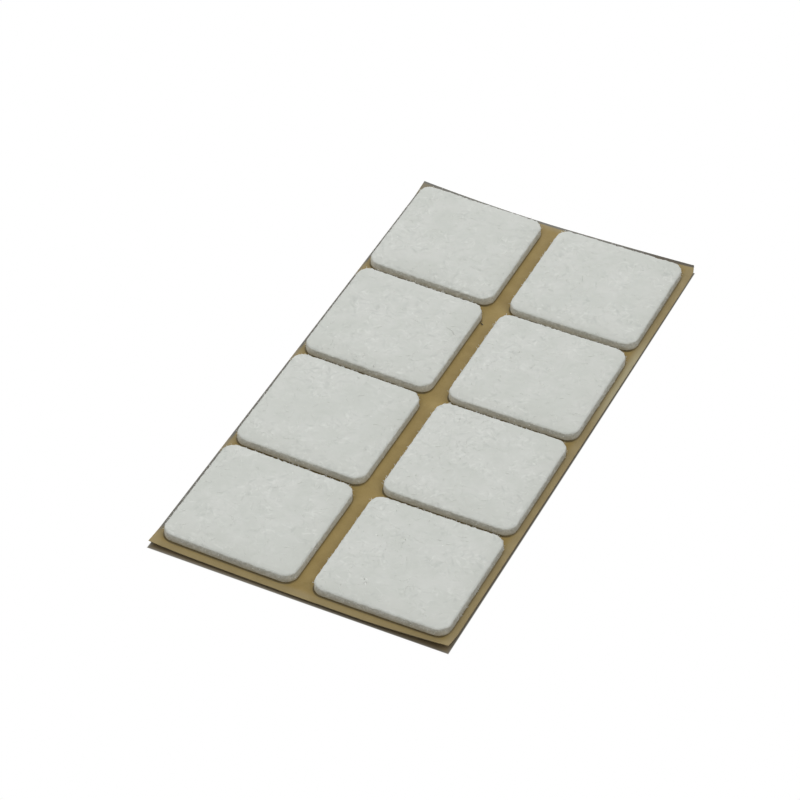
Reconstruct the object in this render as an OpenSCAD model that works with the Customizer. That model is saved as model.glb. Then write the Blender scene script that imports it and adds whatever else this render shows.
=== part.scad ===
// Card of self-adhesive felt slider pads on a kraft release liner.
// Two columns of square pads run from the front of the card (-Y) to its back (+Y).
// Each pad is a felt square on an adhesive film of the same outline. It lifts off the liner
// and is stuck under a furniture leg, so that the leg slides on the felt.
// The origin is at the middle of the liner's underside, with +Z up through the pads.

/* [Felt pads] */
// Side of a pad across the card
pad_width = 38; // [15:0.5:80]
// Side of a pad along the card
pad_depth = 38; // [15:0.5:80]
// Thickness of the felt
felt_thickness = 3; // [1.5:0.1:10]
// Radius of a pad's four corners, seen from above
corner_radius = 3.4; // [1.5:0.1:7]
// Radius of the soft round along a pad's top edge
edge_round = 0.3; // [0.2:0.1:1.2]

/* [Adhesive films] */
// Thickness of the adhesive film under each pad
adhesive_thickness = 0.15; // [0.05:0.05:1]

/* [Layout] */
// Gap between the two columns of pads
column_gap = 5.1; // [1:0.1:30]
// Gap between one row of pads and the next
row_gap = 2.9; // [1:0.1:30]
// Number of rows of pads
rows = 4; // [1:1:6]

/* [Release liner] */
// Thickness of the liner paper
liner_thickness = 0.15; // [0.05:0.05:1]
// Bare liner beside the left column
margin_left = 1.9; // [0.5:0.1:30]
// Bare liner beside the right column
margin_right = 1.9; // [0.5:0.1:30]
// Bare liner in front of the first row
margin_front = 2.6; // [0.5:0.1:30]
// Bare liner behind the last row
margin_back = 3.6; // [0.5:0.1:30]

/* [Hidden] */
// Names of the two columns, from -X to +X
column_names = ["left", "right"];
columns = len(column_names);
column_pitch = pad_width + column_gap;
row_pitch = pad_depth + row_gap;
liner_width = margin_left + columns * column_pitch - column_gap + margin_right;
liner_depth = margin_front + rows * row_pitch - row_gap + margin_back;
adhesive_bottom = liner_thickness;
felt_bottom = adhesive_bottom + adhesive_thickness;
// Height at which the felt's upright sides turn into the soft shoulder
shoulder_height = felt_thickness - edge_round;
// Straight stretch of a pad's sides between its corners
straight_x = pad_width - 2 * corner_radius;
straight_y = pad_depth - 2 * corner_radius;
// How far the corner trims reach past the outline
trim_over = 1;
white_felt = [0.80, 0.80, 0.78];
amber_adhesive = [0.42, 0.37, 0.25];
brown_kraft = [0.57, 0.49, 0.33];
$fn = 64;

function felt_name(column, row) = str("felt_pad_", column_names[column], "_", row + 1);
function adhesive_name(column, row) = str("adhesive_", column_names[column], "_", row + 1);

// Moves its children from the origin to the middle of one pad's place on the card
module at_pad(column, row) {
    x = margin_left + pad_width / 2 + column * column_pitch - liner_width / 2;
    y = margin_front + pad_depth / 2 + row * row_pitch - liner_depth / 2;
    translate([x, y, 0])
        children();
}

// Repeats its children, drawn at a corner's centre and facing +X +Y, at all four corners
module at_corners(reach_x, reach_y) {
    for (side_x = [0, 1], side_y = [0, 1])
        mirror([side_x, 0, 0])
            mirror([0, side_y, 0])
                translate([reach_x, reach_y, 0])
                    children();
}

// Outline of a pad seen from above, as the die cuts it
module pad_outline() {
    difference() {
        square([pad_width, pad_depth], center = true);
        at_corners(straight_x / 2, straight_y / 2)
            difference() {
                square(corner_radius + trim_over);
                circle(r = corner_radius);
            }
    }
}

// Section of the felt's top layer, from a corner's centre out to the die-cut side
module shoulder_section() {
    flat = corner_radius - edge_round;
    square([flat, edge_round]);
    translate([flat, 0])
        intersection() {
            circle(r = edge_round);
            square(edge_round);
        }
}

// Soft shoulders along two opposite straight sides of a pad, which face +X and -X
module straight_shoulders(reach, length) {
    for (turn = [0, 180])
        rotate([0, 0, turn])
            translate([reach, length / 2, 0])
                rotate([90, 0, 0])
                    linear_extrude(length)
                        shoulder_section();
}

// Upper layer of the felt, rounded all along its top edge
module felt_top_layer() {
    translate([-straight_x / 2, -straight_y / 2, 0])
        cube([straight_x, straight_y, edge_round]);
    at_corners(straight_x / 2, straight_y / 2)
        rotate_extrude(angle = 90)
            shoulder_section();
    straight_shoulders(straight_x / 2, straight_y);
    rotate([0, 0, 90])
        straight_shoulders(straight_y / 2, straight_x);
}

module release_liner() {
    color(brown_kraft)
        translate([-liner_width / 2, -liner_depth / 2, 0])
            cube([liner_width, liner_depth, liner_thickness]);
}

module adhesive(column, row) {
    color(amber_adhesive)
        at_pad(column, row)
            translate([0, 0, adhesive_bottom])
                linear_extrude(adhesive_thickness)
                    pad_outline();
}

module felt_pad(column, row) {
    color(white_felt)
        at_pad(column, row) {
            translate([0, 0, felt_bottom])
                linear_extrude(shoulder_height)
                    pad_outline();
            translate([0, 0, felt_bottom + shoulder_height])
                felt_top_layer();
        }
}

release_liner();
for (column = [0:columns - 1], row = [0:rows - 1]) {
    adhesive(column, row);
    felt_pad(column, row);
}
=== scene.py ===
# Card of felt furniture slider pads on its kraft release liner
import math
import random

import bpy
from mathutils import Matrix, Vector


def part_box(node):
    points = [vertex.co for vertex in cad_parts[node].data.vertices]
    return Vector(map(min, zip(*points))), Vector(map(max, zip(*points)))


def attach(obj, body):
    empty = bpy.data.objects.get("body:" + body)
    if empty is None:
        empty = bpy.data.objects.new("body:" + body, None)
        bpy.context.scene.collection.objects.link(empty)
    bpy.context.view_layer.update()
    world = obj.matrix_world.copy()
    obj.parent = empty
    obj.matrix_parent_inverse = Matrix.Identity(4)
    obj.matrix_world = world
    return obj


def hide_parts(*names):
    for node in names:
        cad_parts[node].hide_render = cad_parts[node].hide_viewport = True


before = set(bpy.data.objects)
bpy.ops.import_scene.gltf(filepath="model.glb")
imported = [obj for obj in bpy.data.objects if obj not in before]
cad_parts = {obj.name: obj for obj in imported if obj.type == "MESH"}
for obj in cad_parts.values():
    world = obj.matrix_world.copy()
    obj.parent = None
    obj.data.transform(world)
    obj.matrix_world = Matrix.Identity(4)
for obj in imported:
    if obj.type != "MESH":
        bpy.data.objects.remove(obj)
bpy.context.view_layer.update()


def box_corners(node):
    """The low and the high corner of a node's box."""
    low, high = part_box(node)
    return Vector(low), Vector(high)


# The card's sizes, in metres
MM = 0.001
COLUMNS = ("left", "right")
ROWS = (1, 2, 3, 4)
PLACES = [f"{column}_{row}" for column in COLUMNS for row in ROWS]
LINER_LOW, LINER_HIGH = box_corners("release_liner")
FELT_LOW, FELT_HIGH = box_corners("felt_pad_left_1")
FILM_LOW, FILM_HIGH = box_corners("adhesive_left_1")
PAD_SIZE = FELT_HIGH - FELT_LOW
FILM_SIZE = FILM_HIGH - FILM_LOW
PITCH = box_corners("felt_pad_right_2")[0] - FELT_LOW
CORNER_RADIUS = 3.4 * MM

# The field that all eight pads cover
FIELD_LOW = FELT_LOW
FIELD_HIGH = box_corners("felt_pad_right_4")[1]

# How far the card stands off the table at its left edge, middle and right edge: front, middle and back
CARD_LIFT = (
    (0.85 * MM, 0.75 * MM, 1.75 * MM),
    (0.25 * MM, 0.15 * MM, 0.95 * MM),
    (0.38 * MM, 0.2 * MM, 1.35 * MM),
)

# How the liner's bare ends curl up: where a curl starts, the edge it runs to, its height and its bend
FRONT_CURLS = (
    (18 * MM, LINER_HIGH.x, 1.4 * MM, 1.5),
    (-33 * MM, LINER_LOW.x, 0.5 * MM, 1.3),
)
BACK_CURLS = (
    (-2 * MM, LINER_HIGH.x, 0.95 * MM, 1.0),
    (-12 * MM, LINER_LOW.x, 0.85 * MM, 1.6),
)
CURL_RISE = 1.2

# How far the liner's sides are cut in at the front end, middle and back end, and its back right corner
LEFT_EDGE_TRIM = (0.04 * MM, 0.18 * MM, 0.4 * MM)
RIGHT_EDGE_TRIM = (-0.1 * MM, -0.1 * MM, -0.42 * MM)
CORNER_CLIP = 0.8 * MM
CORNER_CLIP_REACH = 2.4 * MM

# How finely the pieces are cut up
LINER_BEND_STEP = 0.8 * MM
LINER_SMOOTH_ANGLE = 40
FILM_BEND_STEP = 2.5 * MM
FELT_GRAIN_STEP = 0.25 * MM
CORNER_SEGMENTS = 10
MERGE_DISTANCE = 0.0005 * MM

# How far the film's edge lies in under the felt
FILM_UNDERCUT = 0.25 * MM

# The felt's top and foot edges, and how they are told from its other edges
TOP_EDGE_ROUND = 0.33 * MM
TOP_EDGE_SEGMENTS = 3
TOP_EDGE_ABOVE = 0.9
FOOT_EDGE_ROUND = 0.16 * MM
FOOT_EDGE_SEGMENTS = 2
FOOT_EDGE_BELOW = 0.02
LEVEL_EDGE = 0.1

# How the die pushed the felt down towards its front and sides, and how far in from its front and right
# side a painted shade darkens its top
SHOULDER_REACH = 2.0 * MM
FRONT_SHOULDER_DROP = 0.32 * MM
LEFT_SHOULDER_DROP = 0.28 * MM
RIGHT_SHOULDER_DROP = 0.16 * MM
RIGHT_FOOT_SPREAD = 0.12 * MM
DOME_REACH = 8.0 * MM
DOME_DROP = 0.12 * MM
FELT_SHADE_REACH = 8.0 * MM
RIGHT_FELT_SHADE_SHARE = 0.7

# Names of what the felt's points carry
FELT_DEPTH = "depth"
FELT_PAINTED_SHADE = "painted_shade"
FREE_SURFACE = "free surface"
CUT_SIDES = "cut sides"

# How strongly the felt's relief works on its sides, and how its faces are told apart
SIDE_RELIEF = 0.45
CUT_SIDE_RELIEF = 0.35
BACK_SIDE_RELIEF = 0.8
FACES_UP = 0.9
FACES_BACK = 0.4

# Loose fibres of each pad
FIBRE_SEED = 300
FIBRE_RADIUS = 0.028 * MM
STRAND_TIP = 0.4
RAY_HEIGHT = 50 * MM

# Fibres that lie on a pad's top, with lengths and rises in millimetres
LYING_FIBRES = 110
LYING_POINTS = 5
LYING_INSET = 1.0 * MM
LYING_LENGTH = (0.8, 2.8)
LYING_RISE = (0.0, 0.05)
LYING_TURN = (-0.6, 0.6)
LYING_FATNESS = (0.8, 2.6)

# Fibres that stand out from a pad's rim and sides, with lengths and roots in millimetres
RIM_FIBRES = 300
RIM_SPREAD_DOWN = 0.55
RIM_DROP = 0.1 * MM
RIM_LENGTH = (0.25, 0.8)
RIM_ROOT = 0.05
RIM_SLANT = (-0.7, 0.7)
RIM_RISE = (-0.2, 0.5)
RIM_LEAN = 0.45
RIM_BELLY = 0.1
RIM_FATNESS = (1.0, 2.4)

# Hair and lint, and dark strands of painted shade in the pale tuft
HAIR_RADIUS = 0.026 * MM
TUFT_SHADE_RADIUS = 0.05 * MM
PALE_TUFT_RADIUS = 0.13 * MM
DARK_CURL_RADIUS = 0.09 * MM

# Strands of the fibre web: their headings in degrees, and how softly each one starts
STRAND_HEADINGS = (17, 62, 104, 151)
STRAND_SOFTNESS = 0.24

# Share of a fleck's radius that has its full colour
FLECK_CORE = 0.3

# The scored line round each pad, darkened as a painted shade at the pad's foot: where it starts and is
# full, from its outer and its inner side
SCORE_SHADE_OUTER = (0.5 * MM, 0.2 * MM)
SCORE_SHADE_INNER = (-0.3 * MM, 0.0)

# How far in from a pad's right side its score and painted shade begin to weaken
SCORE_SHADE_RIGHT_SIDE = 1.5 * MM

# Painted shade along the paper's left and back edges and at its back left corner: how far from an edge it
# starts and is full, and how strong it is
LEFT_EDGE_SHADE = (1.05 * MM, 0.7 * MM)
LEFT_EDGE_SHADE_FROM_FRONT = (3.5 * MM, 8.0 * MM)
LEFT_EDGE_SHADE_AT_GAPS = 0.45
LEFT_EDGE_SHADE_GAP_BLEND = 3.0 * MM
BACK_EDGE_SHADE = (1.1 * MM, 0.6 * MM)
BACK_SHADE_DARKEST = (15 * MM, 36 * MM)
CORNER_SHADE = (7.0 * MM, 4.0 * MM)
CORNER_SHADE_SHARE = 0.65
EDGE_SHADE_SHARE = 0.95

# Painted sheen along all edges of the paper, and the place where its right margin has a patch of painted
# sheen
EDGE_SHEEN = (3.2 * MM, 1.2 * MM)
SHEEN_PATCH_PLACE = 30 * MM
SHEEN_PATCH_ALONG = (26 * MM, 5 * MM)
SHEEN_PATCH_ACROSS = (2.2 * MM, 0.2 * MM)

# How far the shadow reaches past each edge: its middle, slope and bow along that edge, or one length
FRONT_SHADOW = (0.58 * MM, -0.68 * MM, -0.08 * MM)
RIGHT_SHADOW = (0.26 * MM, 0.06 * MM, -0.08 * MM)
LEFT_SHADOW = (-0.5 * MM, -0.15 * MM, 0.15 * MM)
BACK_SHADOW = -0.4 * MM

# How the shadow's colour changes from under the card outwards, and towards the card's right
SHADOW_EDGE = (-0.14 * MM, 0.14 * MM)
SHADOW_OUTWARDS = (-1.3 * MM, 0.1 * MM)
SHADOW_TO_RIGHT = (8 * MM, 34 * MM)
SHADOW_TO_TABLE = (0.2 * MM, 1.0 * MM)

# The studio
FLOOR_SIZE = 4.0
SURROUND_STRENGTH = 0.04
BLACK = (0.0, 0.0, 0.0, 1.0)
WHITE = (1.0, 1.0, 1.0, 1.0)

# The photograph's camera
PHOTO_SIDE = 800
SENSOR_WIDTH = 36.0
FOCAL_PIXELS = 3450
CAMERA_AZIMUTH = 23.55
CAMERA_ELEVATION = 42.36
CAMERA_ROLL = 2.71
CAMERA_DISTANCE = 932.3 * MM
CAMERA_TARGET = Vector((-8.52 * MM, -3.75 * MM, 0.15 * MM))
CAMERA_CLIP_START = 10 * MM


# Small helpers

def srgb(red, green, blue):
    """A colour of 0 to 255, as a screen shows it, in Blender's linear values."""
    def linear(value):
        share = value / 255
        return share / 12.92 if share <= 0.04045 else ((share + 0.055) / 1.055) ** 2.4
    return (linear(red), linear(green), linear(blue), 1.0)


def share_of_way(value, start, end):
    """How far a value has come from start to end, from 0 to 1."""
    return min(max((value - start) / (end - start), 0.0), 1.0)


def nearness(distance, reach):
    """From 1 at no distance down to 0 at a reach and past it."""
    return 1 - share_of_way(distance, 0.0, reach)


def parabola(values, t):
    """The value at t of the parabola through three values at -1, 0 and 1."""
    before, middle, after = values
    return middle + t * (after - before) / 2 + t * t * ((after + before) / 2 - middle)


def direction(azimuth, elevation):
    """The way from the card to a place round it, in degrees, with the card's front at azimuth 0."""
    turn, tilt = math.radians(azimuth), math.radians(elevation)
    return Vector((math.sin(turn) * math.cos(tilt), -math.cos(turn) * math.cos(tilt), math.sin(tilt)))


def foot_of(node):
    """The middle of a node's underside."""
    low, high = box_corners(node)
    return Vector(((low.x + high.x) / 2, (low.y + high.y) / 2, low.z))


def card_lift(x, y):
    """How far the slightly dished card stands off the table at a point."""
    lines = [parabola(line, x / LINER_HIGH.x) for line in CARD_LIFT]
    return parabola(lines, y / LINER_HIGH.y)


def lay_on_card(piece):
    """Raises every point of a flat piece to where the dished card carries it."""
    for vertex in piece.data.vertices:
        vertex.co.z += card_lift(vertex.co.x, vertex.co.y)


def corner_setback(x):
    """How far the outer pads' rounded corners draw back from their straight sides at x."""
    past_right = x - (FIELD_HIGH.x - CORNER_RADIUS)
    past_left = FIELD_LOW.x + CORNER_RADIUS - x
    beyond = min(max(past_right, past_left, 0.0), CORNER_RADIUS)
    return CORNER_RADIUS - math.sqrt(CORNER_RADIUS ** 2 - beyond ** 2)


def margin_curl(x, y):
    """How far the liner's bare front and back ends curl up above the pads' level."""
    setback = corner_setback(x)
    front = share_of_way(y, FIELD_LOW.y + setback, LINER_LOW.y) ** CURL_RISE
    back = share_of_way(y, FIELD_HIGH.y - setback, LINER_HIGH.y) ** CURL_RISE
    rise = 0.0
    for reach, curls in ((front, FRONT_CURLS), (back, BACK_CURLS)):
        for start, edge, height, bend in curls:
            rise += reach * height * share_of_way(x, start, edge) ** bend
    return rise


def pick(piece):
    """Selects one piece alone and makes it the active one."""
    bpy.ops.object.select_all(action="DESELECT")
    piece.select_set(True)
    bpy.context.view_layer.objects.active = piece


def apply_scale(piece):
    """Works a piece's size into its mesh."""
    pick(piece)
    bpy.ops.object.transform_apply(location=True, rotation=True, scale=True)


def apply_modifier(piece, modifier):
    pick(piece)
    bpy.ops.object.modifier_apply(modifier=modifier.name)


def select_edges(piece, test):
    """Selects in edit mode the edges whose middle and direction pass a test."""
    bpy.ops.object.mode_set(mode="OBJECT")
    mesh = piece.data
    for part in (mesh.vertices, mesh.edges, mesh.polygons):
        part.foreach_set("select", [False] * len(part))
    for edge in mesh.edges:
        start, end = (mesh.vertices[index].co for index in edge.vertices)
        edge.select = test((start + end) / 2, (end - start).normalized())
    bpy.ops.object.mode_set(mode="EDIT")
    bpy.ops.mesh.select_mode(type="EDGE")


def close_and_face_out(piece):
    """Merges doubled points of a closed piece and turns every face outwards."""
    pick(piece)
    bpy.ops.object.mode_set(mode="EDIT")
    bpy.ops.mesh.select_all(action="SELECT")
    bpy.ops.mesh.remove_doubles(threshold=MERGE_DISTANCE)
    bpy.ops.mesh.normals_make_consistent(inside=False)
    bpy.ops.object.mode_set(mode="OBJECT")


def copy_to(blank, name, place):
    """A copy of a blank with its own mesh, moved so that its origin lies at a place."""
    piece = blank.copy()
    piece.data = blank.data.copy()
    piece.name = name
    piece.data.name = name
    bpy.context.collection.objects.link(piece)
    piece.data.transform(Matrix.Translation(place))
    return piece


# Shader helpers

def add_node(tree, kind, values=None, **settings):
    made = tree.nodes.new("ShaderNode" + kind)
    for name, value in settings.items():
        setattr(made, name, value)
    for socket, value in (values or {}).items():
        made.inputs[socket].default_value = value
    return made


def fill_sockets(tree, sockets, values):
    """Sets each socket to a number, or links it where the value comes from another node."""
    for socket, value in zip(sockets, values):
        if isinstance(value, bpy.types.NodeSocket):
            tree.links.new(value, socket)
        else:
            socket.default_value = value


def math_node(tree, operation, *values):
    made = add_node(tree, "Math", operation=operation)
    fill_sockets(tree, made.inputs, values)
    return made.outputs[0]


def vector_node(tree, operation, *values):
    made = add_node(tree, "VectorMath", operation=operation)
    fill_sockets(tree, made.inputs, values)
    return made.outputs["Value" if operation == "LENGTH" else "Vector"]


def split_vector(tree, vector):
    """The X, Y and Z of a vector, by name."""
    made = add_node(tree, "SeparateXYZ")
    tree.links.new(vector, made.inputs[0])
    return made.outputs


def noise_node(tree, vector, scale, detail=2.0, roughness=0.5):
    made = add_node(tree, "TexNoise", {"Detail": detail, "Roughness": roughness})
    fill_sockets(tree, (made.inputs["Vector"], made.inputs["Scale"]), (vector, scale))
    return made


def attribute_node(tree, name):
    """A value that the piece's own points carry."""
    return add_node(tree, "Attribute", attribute_name=name).outputs["Fac"]


def ramp_node(tree, value, low, high, to_low=0.0, to_high=1.0):
    """Maps a stretch of a value softly onto another stretch."""
    made = add_node(tree, "MapRange", interpolation_type="SMOOTHSTEP")
    fill_sockets(tree, made.inputs, (value, low, high, to_low, to_high))
    return made.outputs[0]


def mix_colour(tree, share, first, second):
    made = add_node(tree, "Mix", data_type="RGBA")
    fill_sockets(tree, (made.inputs[0], made.inputs[6], made.inputs[7]), (share, first, second))
    return made.outputs[2]


def tint(tree, colour, mask, strength, towards):
    """A colour that is drawn towards another one where a mask is, by the mask's strength."""
    return mix_colour(tree, math_node(tree, "MULTIPLY", mask, strength), colour, towards)


def seen_rays(tree):
    """Tells the rays that bring a surface into the picture, also by a mirror or through glass."""
    rays = add_node(tree, "LightPath")
    seen = math_node(tree, "MAXIMUM", rays.outputs["Is Camera Ray"], rays.outputs["Is Glossy Ray"])
    return math_node(tree, "MAXIMUM", seen, rays.outputs["Is Transmission Ray"])


def choose_shader(tree, output, share, first, second):
    """Gives an output one shader, and another one by a share."""
    choice = add_node(tree, "MixShader")
    fill_sockets(tree, choice.inputs, (share, first.outputs[0], second.outputs[0]))
    tree.links.new(choice.outputs[0], tree.nodes[output].inputs["Surface"])


def new_group(name, inputs, outputs):
    tree = bpy.data.node_groups.new(name, "ShaderNodeTree")
    for socket, kind in inputs.items():
        tree.interface.new_socket(name=socket, in_out="INPUT", socket_type="NodeSocket" + kind)
    for socket, kind in outputs.items():
        tree.interface.new_socket(name=socket, in_out="OUTPUT", socket_type="NodeSocket" + kind)
    return tree, tree.nodes.new("NodeGroupInput"), tree.nodes.new("NodeGroupOutput")


def use_group(tree, group, vector, **values):
    """One use of a shared effect, with its numbers given by its sockets' names in small letters."""
    made = tree.nodes.new("ShaderNodeGroup")
    made.node_tree = group
    tree.links.new(vector, made.inputs["Vector"])
    for name, value in values.items():
        made.inputs[name.replace("_", " ").capitalize()].default_value = value
    return made


def new_material(name):
    """A material with its tree, its shader and the piece's own coordinates."""
    material = bpy.data.materials.new(name)
    material.use_nodes = True
    tree = material.node_tree
    shader = tree.nodes["Principled BSDF"]
    place = add_node(tree, "TexCoord").outputs["Object"]
    return material, tree, shader, place


def add_relief(tree, shader, height, depth, strength):
    relief = add_node(tree, "Bump", {"Strength": strength, "Distance": depth})
    tree.links.new(height, relief.inputs["Height"])
    tree.links.new(relief.outputs[0], shader.inputs["Normal"])


# Shared effects

def fibre_web_group():
    """Loose strands that lie in several directions, and the soft clumps between them."""
    inputs = {"Vector": "Vector", "Strand length": "Float", "Strand width": "Float",
              "Wander": "Float", "Sparseness": "Float"}
    tree, taken, given = new_group("Fibre web", inputs, {"Strands": "Float", "Clumps": "Float"})
    place = taken.outputs["Vector"]
    sparseness = taken.outputs["Sparseness"]
    per_length = math_node(tree, "DIVIDE", 1.0, taken.outputs["Strand length"])
    per_width = math_node(tree, "DIVIDE", 1.0, taken.outputs["Strand width"])
    squeeze = add_node(tree, "CombineXYZ")
    fill_sockets(tree, squeeze.inputs, (per_length, per_width, per_width))

    sway = noise_node(tree, place, per_length, detail=1.0)
    shift = vector_node(tree, "SUBTRACT", sway.outputs["Color"], (0.5, 0.5, 0.5))
    reach = add_node(tree, "VectorMath", operation="SCALE")
    tree.links.new(shift, reach.inputs[0])
    tree.links.new(taken.outputs["Wander"], reach.inputs["Scale"])
    swayed = vector_node(tree, "ADD", place, reach.outputs[0])

    full = math_node(tree, "ADD", sparseness, STRAND_SOFTNESS)
    strands = None
    for heading in STRAND_HEADINGS:
        turned = add_node(tree, "VectorRotate", {"Angle": math.radians(heading)}, rotation_type="Z_AXIS")
        tree.links.new(swayed, turned.inputs["Vector"])
        squeezed = vector_node(tree, "MULTIPLY", turned.outputs[0], squeeze.outputs[0])
        shifted = vector_node(tree, "ADD", squeezed, (heading, heading / 2, 0.0))
        grain = noise_node(tree, shifted, 1.0, detail=0.5)
        layer = ramp_node(tree, grain.outputs["Fac"], sparseness, full)
        strands = layer if strands is None else math_node(tree, "MAXIMUM", strands, layer)
    tree.links.new(strands, given.inputs["Strands"])
    clumps = noise_node(tree, place, per_length)
    tree.links.new(clumps.outputs["Fac"], given.inputs["Clumps"])
    return tree


def flecks_group():
    """Small scattered specks: some cells of a loose pattern hold one."""
    inputs = {"Vector": "Vector", "Spacing": "Float", "Radius": "Float", "Share": "Float"}
    tree, taken, given = new_group("Flecks", inputs, {"Mask": "Float"})
    place = taken.outputs["Vector"]
    spacing = taken.outputs["Spacing"]
    radius = taken.outputs["Radius"]
    ragged = noise_node(tree, place, math_node(tree, "DIVIDE", 1.0, radius))
    cells = add_node(tree, "TexVoronoi", {"Randomness": 1.0})
    tree.links.new(place, cells.inputs["Vector"])
    tree.links.new(math_node(tree, "DIVIDE", 1.0, spacing), cells.inputs["Scale"])
    distance = math_node(tree, "MULTIPLY", cells.outputs["Distance"], spacing)
    twice_ragged = math_node(tree, "MULTIPLY", ragged.outputs["Fac"], 2.0)
    edge = math_node(tree, "MULTIPLY", twice_ragged, radius)
    spot = ramp_node(tree, math_node(tree, "DIVIDE", distance, edge), 1.0, FLECK_CORE)
    chance = add_node(tree, "SeparateColor")
    tree.links.new(cells.outputs["Color"], chance.inputs[0])
    chosen = math_node(tree, "LESS_THAN", chance.outputs[0], taken.outputs["Share"])
    tree.links.new(math_node(tree, "MULTIPLY", spot, chosen), given.inputs["Mask"])
    return tree


FIBRE_WEB = fibre_web_group()
FLECKS = flecks_group()


# Materials

def felt_material():
    """White needle felt: tufts and creases in patches, lighter and darker as a painted highlight and
    shade of their relief, bright lint, a painted shade towards the top's front and right side, and
    greyer, warmer cut sides, with painted shade in their hollows and towards the foot.
    """
    material, tree, shader, place = new_material("white needle felt")
    elsewhere = vector_node(tree, "ADD", place, (0.31, 0.17, 0.05))
    tufts = use_group(tree, FIBRE_WEB, place, strand_length=2.6 * MM, strand_width=1.05 * MM,
                      wander=1.6 * MM, sparseness=0.6)
    creases = use_group(tree, FIBRE_WEB, elsewhere, strand_length=3.2 * MM, strand_width=1.25 * MM,
                        wander=1.6 * MM, sparseness=0.6)
    patches = noise_node(tree, place, 150.0, detail=1.0)
    worked = ramp_node(tree, patches.outputs["Fac"], 0.4, 0.62, 0.15, 1.0)
    raised = math_node(tree, "MULTIPLY", tufts.outputs["Strands"], worked)
    sunk = math_node(tree, "MULTIPLY", creases.outputs["Strands"], worked)

    cloud = noise_node(tree, place, 160.0, roughness=0.55)
    clouded = ramp_node(tree, cloud.outputs["Fac"], 0.3, 0.7)
    colour = mix_colour(tree, clouded, srgb(206, 209, 203), srgb(212, 214, 209))
    # Painted shade: the top drawn darker towards its front and right side
    colour = tint(tree, colour, attribute_node(tree, FELT_PAINTED_SHADE), 0.5, srgb(198, 200, 193))
    # Lighter on the raised tufts and darker in the sunk creases: painted highlight and shade of the
    # relief, along with its bump
    colour = tint(tree, colour, raised, 0.6, srgb(226, 228, 223))
    colour = tint(tree, colour, sunk, 0.44, srgb(184, 188, 183))
    lint = use_group(tree, FLECKS, place, spacing=4.2 * MM, radius=0.26 * MM, share=0.4)
    colour = mix_colour(tree, lint.outputs["Mask"], colour, srgb(234, 235, 231))
    dull_bits = use_group(tree, FLECKS, place, spacing=8.5 * MM, radius=0.17 * MM, share=0.3)
    colour = tint(tree, colour, dull_bits.outputs["Mask"], 0.6, srgb(140, 138, 128))

    normal = add_node(tree, "TexCoord").outputs["Normal"]
    facing_up = math_node(tree, "ABSOLUTE", split_vector(tree, normal)["Z"])
    cut_side = ramp_node(tree, facing_up, 0.7, 0.2)
    matted = use_group(tree, FIBRE_WEB, elsewhere, strand_length=1.6 * MM, strand_width=0.5 * MM,
                       wander=0.8 * MM, sparseness=0.5)
    # The cut sides are darker where their relief is lower: painted shade in their hollows
    hollows = ramp_node(tree, matted.outputs["Clumps"], 0.35, 0.65, 0.0, 0.4)
    combed = math_node(tree, "MULTIPLY_ADD", matted.outputs["Strands"], 0.6, hollows)
    side_colour = mix_colour(tree, combed, srgb(166, 163, 148), srgb(214, 212, 202))
    colour = tint(tree, colour, cut_side, 0.5, side_colour)
    # Painted shade, warm, darkening the cut sides towards the foot
    deep = ramp_node(tree, attribute_node(tree, FELT_DEPTH), 0.25, 0.95)
    towards_foot = math_node(tree, "MULTIPLY", deep, cut_side)
    colour = tint(tree, colour, towards_foot, 0.5, srgb(164, 154, 128))
    tree.links.new(colour, shader.inputs["Base Color"])

    height = math_node(tree, "SUBTRACT", raised, sunk)
    height = math_node(tree, "MULTIPLY_ADD", combed, cut_side, height)
    tree.links.new(ramp_node(tree, height, -0.8, 0.8, 1.0, 0.88), shader.inputs["Roughness"])
    add_relief(tree, shader, height, 0.06 * MM, 0.3)
    shader.inputs["Sheen Weight"].default_value = 0.1
    shader.inputs["Sheen Roughness"].default_value = 0.6
    shader.inputs["Specular IOR Level"].default_value = 0.15
    return material


def fibre_material(name, dull, bright):
    """Single loose fibres of white wool, duller and brighter by turns."""
    material, tree, shader, place = new_material(name)
    web = use_group(tree, FIBRE_WEB, place, strand_length=1.5 * MM, strand_width=0.3 * MM,
                    wander=1.0 * MM, sparseness=0.5)
    clumps = web.outputs["Clumps"]
    tree.links.new(mix_colour(tree, clumps, dull, bright), shader.inputs["Base Color"])
    tree.links.new(ramp_node(tree, clumps, 0.2, 0.8, 0.6, 0.9), shader.inputs["Roughness"])
    shader.inputs["Specular IOR Level"].default_value = 0.2
    return material


def lint_and_tuft_shade_material():
    """Dark household dust and hair that the felt and the liner have caught, and dark strands set as
    painted shade in a pale tuft.
    """
    material, tree, shader, place = new_material("dark lint and tuft shade")
    web = use_group(tree, FIBRE_WEB, place, strand_length=0.8 * MM, strand_width=0.1 * MM,
                    wander=0.5 * MM, sparseness=0.5)
    clumps = web.outputs["Clumps"]
    colour = mix_colour(tree, clumps, srgb(42, 37, 29), srgb(84, 78, 66))
    tree.links.new(colour, shader.inputs["Base Color"])
    tree.links.new(ramp_node(tree, clumps, 0.2, 0.8, 0.5, 0.8), shader.inputs["Roughness"])
    return material


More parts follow.
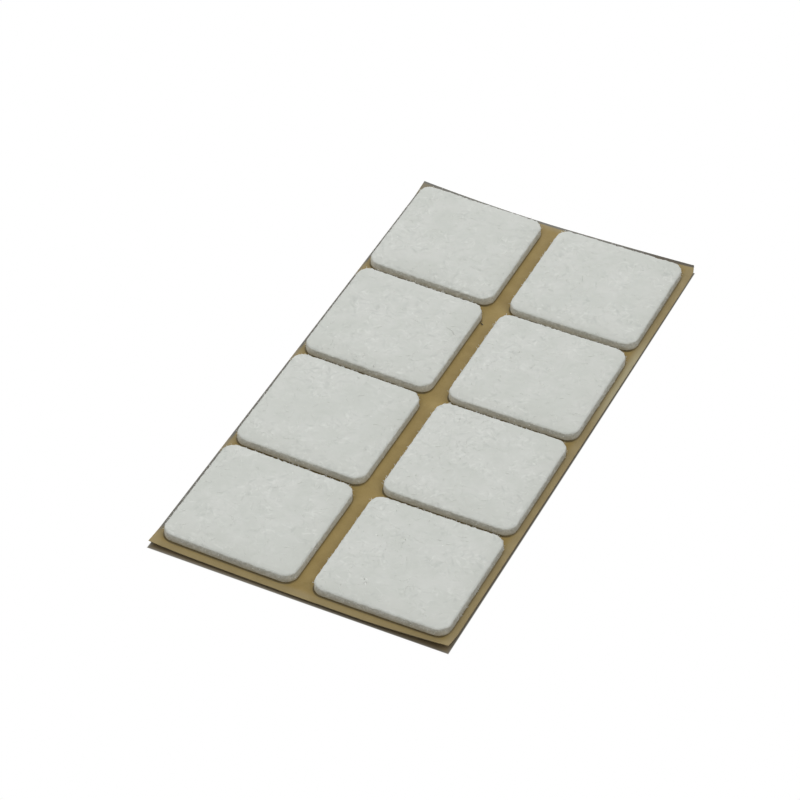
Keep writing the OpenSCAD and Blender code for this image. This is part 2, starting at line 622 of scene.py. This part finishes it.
def pad_outline_distance(tree, place):
    """How far a point of the liner lies outside the nearest pad, and whether it is to the pad's right."""
    half = PAD_SIZE / 2
    pitch = (PITCH.x, PITCH.y, 1.0)
    straight = (half.x - CORNER_RADIUS, half.y - CORNER_RADIUS, 0.0)
    from_first = vector_node(tree, "SUBTRACT", place, foot_of("felt_pad_left_1"))
    flat = vector_node(tree, "MULTIPLY", from_first, (1.0, 1.0, 0.0))
    steps = vector_node(tree, "ADD", vector_node(tree, "DIVIDE", flat, pitch), (0.5, 0.5, 0.0))
    nearest = vector_node(tree, "MULTIPLY", vector_node(tree, "FLOOR", steps), pitch)
    from_pad = vector_node(tree, "SUBTRACT", flat, nearest)
    past_straight = vector_node(tree, "SUBTRACT", vector_node(tree, "ABSOLUTE", from_pad), straight)
    past = vector_node(tree, "MAXIMUM", past_straight, (0.0, 0.0, 0.0))
    outside = math_node(tree, "SUBTRACT", vector_node(tree, "LENGTH", past), CORNER_RADIUS)
    to_right = ramp_node(tree, split_vector(tree, from_pad)["X"], half.x - SCORE_SHADE_RIGHT_SIDE, half.x)
    return outside, to_right


def painted_edge_shade_and_sheen(tree, place):
    """Where the paper's edges carry a painted sheen, where its right margin has a patch of painted sheen,
    where its left and back edges and back left corner carry painted shade, and where that shade on the
    back edge is darkest.
    """
    spot = split_vector(tree, place)
    from_left = math_node(tree, "SUBTRACT", spot["X"], LINER_LOW.x)
    from_right = math_node(tree, "SUBTRACT", LINER_HIGH.x, spot["X"])
    from_front = math_node(tree, "SUBTRACT", spot["Y"], LINER_LOW.y)
    from_back = math_node(tree, "SUBTRACT", LINER_HIGH.y, spot["Y"])

    side = PAD_SIZE.y / 2
    along_rows = math_node(tree, "SUBTRACT", spot["Y"], foot_of("felt_pad_left_1").y)
    from_row = math_node(tree, "PINGPONG", along_rows, PITCH.y / 2)
    beside_pad = ramp_node(tree, from_row, side, side - LEFT_EDGE_SHADE_GAP_BLEND, LEFT_EDGE_SHADE_AT_GAPS, 1.0)
    past_front = ramp_node(tree, from_front, *LEFT_EDGE_SHADE_FROM_FRONT)
    left = ramp_node(tree, from_left, *LEFT_EDGE_SHADE)
    left = math_node(tree, "MULTIPLY", left, math_node(tree, "MULTIPLY", beside_pad, past_front))
    behind = ramp_node(tree, from_back, *BACK_EDGE_SHADE)
    from_corner = math_node(tree, "ADD", from_left, from_back)
    corner = ramp_node(tree, from_corner, *CORNER_SHADE, 0.0, CORNER_SHADE_SHARE)
    edge_shade = math_node(tree, "MAXIMUM", left, math_node(tree, "MAXIMUM", behind, corner))
    edge_shade = math_node(tree, "MULTIPLY", edge_shade, EDGE_SHADE_SHARE)
    darkest_back_shade = math_node(tree, "MULTIPLY", behind, ramp_node(tree, spot["X"], *BACK_SHADE_DARKEST))

    from_sides = math_node(tree, "MINIMUM", from_left, from_right)
    from_ends = math_node(tree, "MINIMUM", from_front, from_back)
    sheen_along_edges = ramp_node(tree, math_node(tree, "MINIMUM", from_sides, from_ends), *EDGE_SHEEN)
    from_sheen_patch = math_node(tree, "ABSOLUTE", math_node(tree, "SUBTRACT", spot["Y"], SHEEN_PATCH_PLACE))
    along_sheen_patch = ramp_node(tree, from_sheen_patch, *SHEEN_PATCH_ALONG)
    sheen_patch = math_node(tree, "MULTIPLY", along_sheen_patch, ramp_node(tree, from_right, *SHEEN_PATCH_ACROSS))
    return sheen_along_edges, sheen_patch, edge_shade, darkest_back_shade


def kraft_material():
    """Brown kraft paper with a release coat: fibrous and cloudy, with a painted sheen along its edges and
    on its right margin, painted shade along its left and back edges, and a scored line round each pad,
    darkened as a painted shade at the pad's foot.
    """
    material, tree, shader, place = new_material("coated kraft paper")
    fibres = use_group(tree, FIBRE_WEB, place, strand_length=1.8 * MM, strand_width=0.08 * MM,
                       wander=0.8 * MM, sparseness=0.55)
    cloud = noise_node(tree, place, 180.0, detail=4.0, roughness=0.6)
    tone = math_node(tree, "MULTIPLY_ADD", fibres.outputs["Strands"], 0.25, cloud.outputs["Fac"])
    tones = (0.25, 0.95)
    colour = mix_colour(tree, ramp_node(tree, tone, *tones), srgb(141, 121, 74), srgb(157, 137, 87))
    specks = use_group(tree, FLECKS, place, spacing=2.4 * MM, radius=0.09 * MM, share=0.4)
    colour = tint(tree, colour, specks.outputs["Mask"], 0.5, srgb(90, 72, 40))
    outside, to_right = pad_outline_distance(tree, place)
    # The scored line round each pad, darkened as a painted shade at the pad's foot, and weaker towards
    # the pad's right side
    score_and_shade = ramp_node(tree, outside, *SCORE_SHADE_OUTER)
    score_and_shade = math_node(tree, "MULTIPLY", score_and_shade, ramp_node(tree, outside, *SCORE_SHADE_INNER))
    score_shade_strength = ramp_node(tree, to_right, 0.0, 1.0, 0.75, 0.42)
    colour = tint(tree, colour, score_and_shade, score_shade_strength, srgb(66, 62, 49))
    sheen_along_edges, sheen_patch, edge_shade, darkest_back_shade = painted_edge_shade_and_sheen(tree, place)
    # Painted sheen: paler along all edges and on a patch of the right margin
    colour = tint(tree, colour, sheen_along_edges, 0.4, srgb(146, 136, 110))
    colour = tint(tree, colour, sheen_patch, 0.55, srgb(178, 172, 142))
    # Painted shade: greyer along the left and back edges and at the back left corner, darkest at the back
    # towards the right
    colour = mix_colour(tree, edge_shade, colour, srgb(112, 111, 106))
    colour = tint(tree, colour, darkest_back_shade, 0.6, srgb(66, 54, 38))
    tree.links.new(colour, shader.inputs["Base Color"])

    under_pad = ramp_node(tree, outside, 0.2 * MM, -0.4 * MM)
    rough = ramp_node(tree, tone, *tones, 0.62, 0.5)
    rough = math_node(tree, "MULTIPLY_ADD", under_pad, -0.12, rough)
    tree.links.new(rough, shader.inputs["Roughness"])
    height = math_node(tree, "MULTIPLY_ADD", score_and_shade, -1.5, tone)
    add_relief(tree, shader, height, 0.02 * MM, 0.4)
    shader.inputs["Specular IOR Level"].default_value = 0.25
    return material


def adhesive_and_foot_shade_material():
    """Amber adhesive, glossy where it is smooth, with the felt's web showing through, and dark enough
    that its edge at each pad's foot gives a painted shade there.
    """
    material, tree, shader, place = new_material("amber adhesive and foot shade")
    web = use_group(tree, FIBRE_WEB, place, strand_length=2.2 * MM, strand_width=0.25 * MM,
                    wander=1.4 * MM, sparseness=0.5)
    tone = math_node(tree, "MULTIPLY_ADD", web.outputs["Strands"], 0.4, web.outputs["Clumps"])
    tones = (0.3, 1.1)
    colour = mix_colour(tree, ramp_node(tree, tone, *tones), srgb(80, 76, 60), srgb(106, 101, 82))
    tree.links.new(colour, shader.inputs["Base Color"])
    tree.links.new(ramp_node(tree, tone, *tones, 0.22, 0.4), shader.inputs["Roughness"])
    add_relief(tree, shader, tone, 0.03 * MM, 0.5)
    return material


FELT = felt_material()
FUZZ = fibre_material("loose felt fibre", srgb(205, 207, 202), srgb(236, 237, 233))
WHITE_LINT = fibre_material("white lint", srgb(238, 239, 236), srgb(248, 248, 246))
KRAFT = kraft_material()
ADHESIVE_AND_FOOT_SHADE = adhesive_and_foot_shade_material()
LINT_AND_TUFT_SHADE = lint_and_tuft_shade_material()


# Release liner

def make_liner():
    """The kraft sheet, cut a little askew and dished, with its bare ends curling up."""
    size = LINER_HIGH - LINER_LOW
    across = round(size.x / LINER_BEND_STEP)
    along = round(size.y / LINER_BEND_STEP)
    bpy.ops.mesh.primitive_grid_add(
        x_subdivisions=across, y_subdivisions=along, size=1.0, location=(0.0, 0.0, LINER_HIGH.z))
    liner = bpy.context.object
    liner.name = "kraft_liner"
    liner.scale = (size.x, size.y, 1.0)
    apply_scale(liner)
    for vertex in liner.data.vertices:
        x, y = vertex.co.xy
        left_trim = parabola(LEFT_EDGE_TRIM, y / LINER_HIGH.y)
        right_trim = parabola(RIGHT_EDGE_TRIM, y / LINER_HIGH.y)
        right_trim += CORNER_CLIP * share_of_way(y, LINER_HIGH.y - CORNER_CLIP_REACH, LINER_HIGH.y)
        vertex.co.x += left_trim * share_of_way(x, FIELD_LOW.x, LINER_LOW.x)
        vertex.co.x -= right_trim * share_of_way(x, FIELD_HIGH.x, LINER_HIGH.x)
        vertex.co.z += card_lift(x, y) + margin_curl(x, y)
    paper = liner.modifiers.new("paper thickness", "SOLIDIFY")
    paper.thickness = size.z
    paper.offset = -1.0
    apply_modifier(liner, paper)
    bpy.ops.object.shade_smooth_by_angle(angle=math.radians(LINER_SMOOTH_ANGLE))
    liner.data.materials.append(KRAFT)
    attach(liner, "liner")
    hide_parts("release_liner")
    return liner


# Adhesive films

def rounded_plate(name, size, corner):
    """A closed plate with rounded corners, standing on the origin."""
    bpy.ops.mesh.primitive_plane_add(size=1.0, location=(0.0, 0.0, 0.0))
    plate = bpy.context.object
    plate.name = name
    plate.scale = (size.x, size.y, 1.0)
    apply_scale(plate)
    bpy.ops.object.mode_set(mode="EDIT")
    bpy.ops.mesh.select_all(action="SELECT")
    bpy.ops.mesh.bevel(offset=corner, offset_type="OFFSET", segments=CORNER_SEGMENTS, profile=0.5,
                       affect="VERTICES")
    bpy.ops.mesh.select_all(action="SELECT")
    bpy.ops.mesh.extrude_region_move(TRANSFORM_OT_translate={"value": (0.0, 0.0, size.z)})
    bpy.ops.object.mode_set(mode="OBJECT")
    close_and_face_out(plate)
    return plate


def film_blank():
    """One adhesive film, cut across both ways so that it can follow the dished card."""
    size = FILM_SIZE - Vector((2 * FILM_UNDERCUT, 2 * FILM_UNDERCUT, 0.0))
    film = rounded_plate("adhesive_blank", size, CORNER_RADIUS - FILM_UNDERCUT)
    bpy.ops.object.mode_set(mode="EDIT")
    for axis in (0, 1):
        facing = Vector((0.0, 0.0, 0.0))
        facing[axis] = 1.0
        cuts = math.ceil(size[axis] / FILM_BEND_STEP)
        for cut in range(1, cuts):
            place = facing * (size[axis] * (cut / cuts - 0.5))
            bpy.ops.mesh.select_all(action="SELECT")
            bpy.ops.mesh.bisect(plane_co=place, plane_no=facing)
    bpy.ops.object.mode_set(mode="OBJECT")
    return film


def make_films():
    blank = film_blank()
    for place in PLACES:
        film = copy_to(blank, f"adhesive_film_{place}", foot_of(f"adhesive_{place}"))
        lay_on_card(film)
        film.data.materials.append(ADHESIVE_AND_FOOT_SHADE)
        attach(film, f"pad_{place}")
        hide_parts(f"adhesive_{place}")
    bpy.data.objects.remove(blank)


# Felt pads

def press_shoulders(felt):
    """Lowers the felt towards its front and sides, and notes how deep each point is and how much painted
    shade its top gets towards the front and right side.
    """
    half = PAD_SIZE / 2
    felt.data.attributes.new(FELT_DEPTH, "FLOAT", "POINT")
    felt.data.attributes.new(FELT_PAINTED_SHADE, "FLOAT", "POINT")
    depth = felt.data.attributes[FELT_DEPTH].data
    painted_shade = felt.data.attributes[FELT_PAINTED_SHADE].data
    for number, vertex in enumerate(felt.data.vertices):
        x, y, z = vertex.co
        from_front = half.y + y
        from_left = half.x + x
        from_right = half.x - x
        height = share_of_way(z, 0.0, PAD_SIZE.z)
        shoulder = max(
            FRONT_SHOULDER_DROP * nearness(from_front, SHOULDER_REACH) ** 2,
            LEFT_SHOULDER_DROP * nearness(from_left, SHOULDER_REACH) ** 2,
            RIGHT_SHOULDER_DROP * nearness(from_right, SHOULDER_REACH) ** 2,
        )
        dome = DOME_DROP * nearness(min(from_front, from_left, from_right), DOME_REACH) ** 2
        to_front = nearness(from_front, FELT_SHADE_REACH)
        to_right = nearness(from_right, FELT_SHADE_REACH)
        depth[number].value = 1 - height
        # Painted shade on the top: full towards the front, weaker towards the right side
        painted_shade[number].value = max(to_front, to_right * RIGHT_FELT_SHADE_SHARE)
        spread = RIGHT_FOOT_SPREAD * (1 - height)
        vertex.co.x += spread * share_of_way(x, half.x - SHOULDER_REACH, half.x)
        vertex.co.z -= (shoulder + dome) * height ** 2


def felt_blank():
    """One felt square as the die leaves it, with soft edges, in an even mesh."""
    felt = rounded_plate("felt_blank", PAD_SIZE, CORNER_RADIUS)
    top = PAD_SIZE.z * TOP_EDGE_ABOVE
    foot = PAD_SIZE.z * FOOT_EDGE_BELOW
    select_edges(felt, lambda middle, way: middle.z > top and abs(way.z) < LEVEL_EDGE)
    bpy.ops.mesh.bevel(offset=TOP_EDGE_ROUND, segments=TOP_EDGE_SEGMENTS, profile=0.5, affect="EDGES")
    select_edges(felt, lambda middle, way: middle.z < foot and abs(way.z) < LEVEL_EDGE)
    bpy.ops.mesh.bevel(offset=FOOT_EDGE_ROUND, segments=FOOT_EDGE_SEGMENTS, profile=0.5, affect="EDGES")
    bpy.ops.object.mode_set(mode="OBJECT")
    even = felt.modifiers.new("even felt", "REMESH")
    even.mode = "VOXEL"
    even.voxel_size = FELT_GRAIN_STEP
    even.use_smooth_shade = True
    apply_modifier(felt, even)
    press_shoulders(felt)
    return felt


def relief_texture(name, scale, depth):
    texture = bpy.data.textures.new(name, "CLOUDS")
    texture.noise_scale = scale
    texture.noise_depth = depth
    return texture


def pit_texture(name, scale, floor, rim):
    """Flat, apart from the lowest spots of a cloudy pattern, which sink from a rim to a floor."""
    texture = relief_texture(name, scale, 0)
    texture.use_color_ramp = True
    low, high = texture.color_ramp.elements
    low.position = floor
    low.color = BLACK
    high.position = rim
    high.color = WHITE
    return texture


def matt_the_felt(felt, reliefs):
    """Works swells, lumps and pits into the felt, but leaves its foot flat on the film."""
    points = felt.data.vertices
    foot = min(point.co.z for point in points) + FELT_GRAIN_STEP
    on_top = [point.index for point in points if point.normal.z > FACES_UP]
    on_sides = [point.index for point in points if point.normal.z <= FACES_UP and point.co.z > foot]
    at_back = [index for index in on_sides if points[index].normal.y > FACES_BACK]
    free = felt.vertex_groups.new(name=FREE_SURFACE)
    free.add(on_sides, SIDE_RELIEF, "REPLACE")
    free.add(on_top, 1.0, "REPLACE")
    cut = felt.vertex_groups.new(name=CUT_SIDES)
    cut.add(on_sides, CUT_SIDE_RELIEF, "REPLACE")
    cut.add(at_back, BACK_SIDE_RELIEF, "REPLACE")
    for texture, depth, level, surface in reliefs:
        lumps = felt.modifiers.new(texture.name, "DISPLACE")
        lumps.texture = texture
        lumps.texture_coords = "LOCAL"
        lumps.direction = "NORMAL"
        lumps.mid_level = level
        lumps.strength = depth
        lumps.vertex_group = surface
        apply_modifier(felt, lumps)


def make_felt_pads():
    """The eight pads, worked by reliefs: each has a pattern, a depth, a rest level and a surface."""
    reliefs = (
        (relief_texture("felt swells", 4.0 * MM, 1), 0.11 * MM, 0.5, FREE_SURFACE),
        (relief_texture("felt lumps", 1.5 * MM, 0), 0.05 * MM, 0.5, FREE_SURFACE),
        (pit_texture("needle pits", 2.0 * MM, floor=0.24, rim=0.4), 0.08 * MM, 1.0, FREE_SURFACE),
        (relief_texture("frayed sides", 1.0 * MM, 2), 0.7 * MM, 0.5, CUT_SIDES),
    )
    blank = felt_blank()
    pads = {}
    for place in PLACES:
        felt = copy_to(blank, f"felt_{place}", foot_of(f"felt_pad_{place}"))
        matt_the_felt(felt, reliefs)
        lay_on_card(felt)
        felt.data.materials.append(FELT)
        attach(felt, f"pad_{place}")
        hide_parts(f"felt_pad_{place}")
        pads[place] = felt
    bpy.data.objects.remove(blank)
    return pads


# Loose fibres and lint

def strands_piece(name, paths, radius, material, body):
    """Thin round strands along paths, each with its fatness and tapered at both ends, as one piece."""
    curve = bpy.data.curves.new(name, "CURVE")
    curve.dimensions = "3D"
    curve.bevel_depth = radius
    curve.bevel_resolution = 0
    curve.use_fill_caps = True
    for path, fatness in paths:
        spline = curve.splines.new("POLY")
        spline.points.add(len(path) - 1)
        for index, (point, place) in enumerate(zip(spline.points, path)):
            at_end = index in (0, len(path) - 1)
            point.co = (*place, 1.0)
            point.radius = fatness * (STRAND_TIP if at_end else 1.0)
    piece = bpy.data.objects.new(name, curve)
    bpy.context.collection.objects.link(piece)
    pick(piece)
    bpy.ops.object.convert(target="MESH")
    piece = bpy.context.object
    close_and_face_out(piece)
    bpy.ops.object.shade_smooth()
    piece.data.materials.append(material)
    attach(piece, body)


def top_of(piece, x, y):
    """The point of a piece's upper surface at x and y, or nothing where it has none."""
    hit, place, *_ = piece.ray_cast(Vector((x, y, RAY_HEIGHT)), Vector((0.0, 0.0, -1.0)))
    return place if hit else None


def lying_strand(felt, start, heading, length, chance):
    """A fibre that lies along the felt's top and wanders a little. It stops where the felt ends."""
    path = []
    x, y = start
    step = length / (LYING_POINTS - 1)
    for _ in range(LYING_POINTS):
        spot = top_of(felt, x, y)
        if spot is None:
            break
        path.append(spot + Vector((0.0, 0.0, chance.uniform(*LYING_RISE) * MM)))
        x += math.cos(heading) * step
        y += math.sin(heading) * step
        heading += chance.uniform(*LYING_TURN)
    return path


def rim_strand(felt, middle, chance):
    """A short fibre that stands out from the felt's rim or side."""
    angle = chance.uniform(0.0, 2 * math.pi)
    away = Vector((math.cos(angle), math.sin(angle), 0.0))
    along = Vector((-away.y, away.x, 0.0)) * chance.uniform(*RIM_SLANT)
    height = middle.z + PAD_SIZE.z * (1.0 - chance.uniform(0.0, 1.0) ** 2 * RIM_SPREAD_DOWN)
    height += card_lift(middle.x, middle.y) - RIM_DROP
    start = Vector((middle.x, middle.y, height)) + away * PAD_SIZE.x
    hit, place, normal, _ = felt.ray_cast(start, -away)
    if not hit:
        return []
    length = chance.uniform(*RIM_LENGTH) * MM
    rise = Vector((0.0, 0.0, chance.uniform(*RIM_RISE)))
    tip = place + (normal * RIM_LEAN + along + rise).normalized() * length
    belly = (place + tip) / 2 + normal * RIM_BELLY * length
    return [place - normal * RIM_ROOT * MM, belly, tip]


def make_fuzz(pads):
    """The loose fibres of each pad, as one piece that rides with it."""
    reach = PAD_SIZE.x / 2 - LYING_INSET
    for number, place in enumerate(PLACES):
        felt = pads[place]
        middle = foot_of(f"felt_pad_{place}")
        chance = random.Random(FIBRE_SEED + number)
        paths = []
        for _ in range(LYING_FIBRES):
            start = (middle.x + chance.uniform(-reach, reach), middle.y + chance.uniform(-reach, reach))
            heading = chance.uniform(0.0, 2 * math.pi)
            length = chance.uniform(*LYING_LENGTH) * MM
            path = lying_strand(felt, start, heading, length, chance)
            if len(path) == LYING_POINTS:
                paths.append((path, chance.uniform(*LYING_FATNESS)))
        for _ in range(RIM_FIBRES):
            path = rim_strand(felt, middle, chance)
            if path:
                paths.append((path, chance.uniform(*RIM_FATNESS)))
        strands_piece(f"loose_fibres_{place}", paths, FIBRE_RADIUS, FUZZ, f"pad_{place}")


def path_over(piece, *spots):
    """A path over a piece's top through spots of x, y and height above it, in millimetres."""
    return [top_of(piece, x * MM, y * MM) + Vector((0.0, 0.0, rise * MM)) for x, y, rise in spots]


def make_lint(pads, liner):
    """The few hairs, tufts and curls of lint that the photograph shows."""
    bpy.context.view_layer.update()
    hair = path_over(
        pads["left_3"],
        (-8.64, 25.84, 0.02), (-7.31, 25.58, 0.04), (-6.14, 24.87, 0.05), (-5.35, 23.96, 0.04),
        (-4.66, 24.04, 0.02))
    strands_piece("stray_hair", [(hair, 1.0)], HAIR_RADIUS, LINT_AND_TUFT_SHADE, "pad_left_3")

    pad = pads["right_1"]
    # Dark strands in the pale tuft, set where its light fibres shade one another: painted shade
    knot = path_over(pad, (13.9, -72.8, 0.05), (14.1, -72.95, 0.08), (14.3, -73.1, 0.05))
    end = path_over(pad, (14.73, -73.5, 0.04), (15.0, -73.8, 0.06), (15.25, -74.09, 0.03))
    tuft_shade = [(knot, 1.4), (end, 0.8)]
    strands_piece("tuft_shade_strands", tuft_shade, TUFT_SHADE_RADIUS, LINT_AND_TUFT_SHADE, "pad_right_1")
    to_left = path_over(pad, (12.98, -73.13, -0.04), (13.42, -72.86, -0.04), (13.95, -72.8, -0.04))
    to_right = path_over(pad, (14.07, -72.34, -0.04), (14.58, -72.57, -0.04), (15.13, -73.02, -0.04))
    to_front = path_over(pad, (14.73, -73.71, -0.04), (15.14, -74.31, -0.04), (15.54, -74.92, -0.04))
    pale = [(to_left, 1.0), (to_right, 1.0), (to_front, 0.8)]
    strands_piece("pale_tuft", pale, PALE_TUFT_RADIUS, WHITE_LINT, "pad_right_1")

    crumb = path_over(
        liner,
        (-2.16, 34.99, 0.15), (-1.63, 34.69, 0.25), (-1.35, 34.5, 0.25), (-1.13, 34.47, 0.2))
    tail = path_over(
        liner,
        (-2.16, 34.99, 0.15), (-2.3, 35.4, 0.15), (-2.2, 35.9, 0.12), (-1.93, 36.11, 0.06))
    curl = [(crumb, 2.2), (tail, 0.8)]
    strands_piece("dark_curl", curl, DARK_CURL_RADIUS, LINT_AND_TUFT_SHADE, "liner")


# Stage

def past_shadow(tree, outer, inner, along, curve):
    """How far a point lies past the end of the shadow at one edge, which bows along that edge."""
    middle, slope, bow = curve
    bend = math_node(tree, "MULTIPLY_ADD", along, bow, slope)
    reach = math_node(tree, "MULTIPLY_ADD", along, bend, middle)
    return math_node(tree, "SUBTRACT", math_node(tree, "SUBTRACT", outer, inner), reach)


def make_floor():
    """A plain white table top, which keeps the card's shadow close round it, with a painted shadow in its
    colour there as well.
    """
    bpy.ops.mesh.primitive_plane_add(size=FLOOR_SIZE, location=(0.0, 0.0, 0.0))
    floor = bpy.context.object
    floor.name = "table_top"
    material, tree, shader, place = new_material("white table top")
    spot = split_vector(tree, place)
    x, y = spot["X"], spot["Y"]
    across = math_node(tree, "DIVIDE", x, LINER_HIGH.x)
    along = math_node(tree, "DIVIDE", y, LINER_HIGH.y)
    before = past_shadow(tree, LINER_LOW.y, y, across, FRONT_SHADOW)
    behind = math_node(tree, "SUBTRACT", y, LINER_HIGH.y + BACK_SHADOW)
    right = past_shadow(tree, x, LINER_HIGH.x, along, RIGHT_SHADOW)
    left = past_shadow(tree, LINER_LOW.x, x, along, LEFT_SHADOW)
    sides = math_node(tree, "MAXIMUM", left, right)
    past = math_node(tree, "MAXIMUM", sides, math_node(tree, "MAXIMUM", before, behind))

    # Painted shadow: the table's colour drawn dark under and round the card, darker to the left and
    # lighter outwards
    to_right = ramp_node(tree, x, *SHADOW_TO_RIGHT)
    deepest = mix_colour(tree, to_right, srgb(106, 93, 71), srgb(130, 116, 90))
    outwards = ramp_node(tree, past, *SHADOW_OUTWARDS)
    colour = mix_colour(tree, outwards, deepest, srgb(130, 125, 114))
    to_table = ramp_node(tree, past, *SHADOW_TO_TABLE)
    colour = mix_colour(tree, to_table, colour, srgb(162, 160, 156))
    tree.links.new(colour, shader.inputs["Base Color"])
    shader.inputs["Roughness"].default_value = 1.0
    shader.inputs["Specular IOR Level"].default_value = 0.0
    plain_white = add_node(tree, "Emission", {"Strength": 1.0, "Color": WHITE})
    clear = math_node(tree, "MULTIPLY", ramp_node(tree, past, *SHADOW_EDGE), seen_rays(tree))
    choose_shader(tree, "Material Output", clear, shader, plain_white)
    floor.data.materials.append(material)


def add_softbox(name, azimuth, elevation, distance, size, power):
    """A round soft light that faces the card."""
    way = direction(azimuth, elevation)
    bpy.ops.object.light_add(type="AREA", location=way * distance)
    lamp = bpy.context.object
    lamp.name = name
    lamp.data.shape = "DISK"
    lamp.data.size = size
    lamp.data.energy = power
    lamp.rotation_euler = (-way).to_track_quat("-Z", "Y").to_euler()


def make_lights():
    add_softbox("front_softbox", azimuth=0, elevation=55, distance=2.0, size=1.5, power=18.0)
    add_softbox("right_softbox", azimuth=90, elevation=55, distance=2.0, size=1.5, power=15.8)
    add_softbox("back_softbox", azimuth=180, elevation=25, distance=0.9, size=0.68, power=2.77)
    add_softbox("left_softbox", azimuth=-90, elevation=25, distance=0.9, size=0.68, power=2.97)


def make_world():
    """A faint white surround, which shows as plain white behind the table."""
    world = bpy.data.worlds.new("studio")
    bpy.context.scene.world = world
    world.use_nodes = True
    tree = world.node_tree
    surround = tree.nodes["Background"]
    surround.inputs["Color"].default_value = WHITE
    surround.inputs["Strength"].default_value = SURROUND_STRENGTH
    backdrop = add_node(tree, "Background", {"Strength": 1.0, "Color": WHITE})
    choose_shader(tree, "World Output", seen_rays(tree), surround, backdrop)


def make_camera():
    """The camera where the photograph was taken from."""
    back = direction(CAMERA_AZIMUTH, CAMERA_ELEVATION)
    level = direction(CAMERA_AZIMUTH + 90, 0)
    right = Matrix.Rotation(math.radians(CAMERA_ROLL), 3, back) @ level
    up = back.cross(right)
    bpy.ops.object.camera_add()
    camera = bpy.context.object
    camera.name = "photo_camera"
    camera.data.sensor_width = SENSOR_WIDTH
    camera.data.lens = FOCAL_PIXELS * SENSOR_WIDTH / PHOTO_SIDE
    camera.data.clip_start = CAMERA_CLIP_START
    place = Matrix((right, up, back)).transposed().to_4x4()
    place.translation = CAMERA_TARGET + back * CAMERA_DISTANCE
    camera.matrix_world = place
    bpy.context.scene.camera = camera


make_camera()
liner = make_liner()
make_films()
pads = make_felt_pads()
make_fuzz(pads)
make_lint(pads, liner)
make_floor()
make_lights()
make_world()
bpy.context.scene.view_settings.view_transform = "Standard"
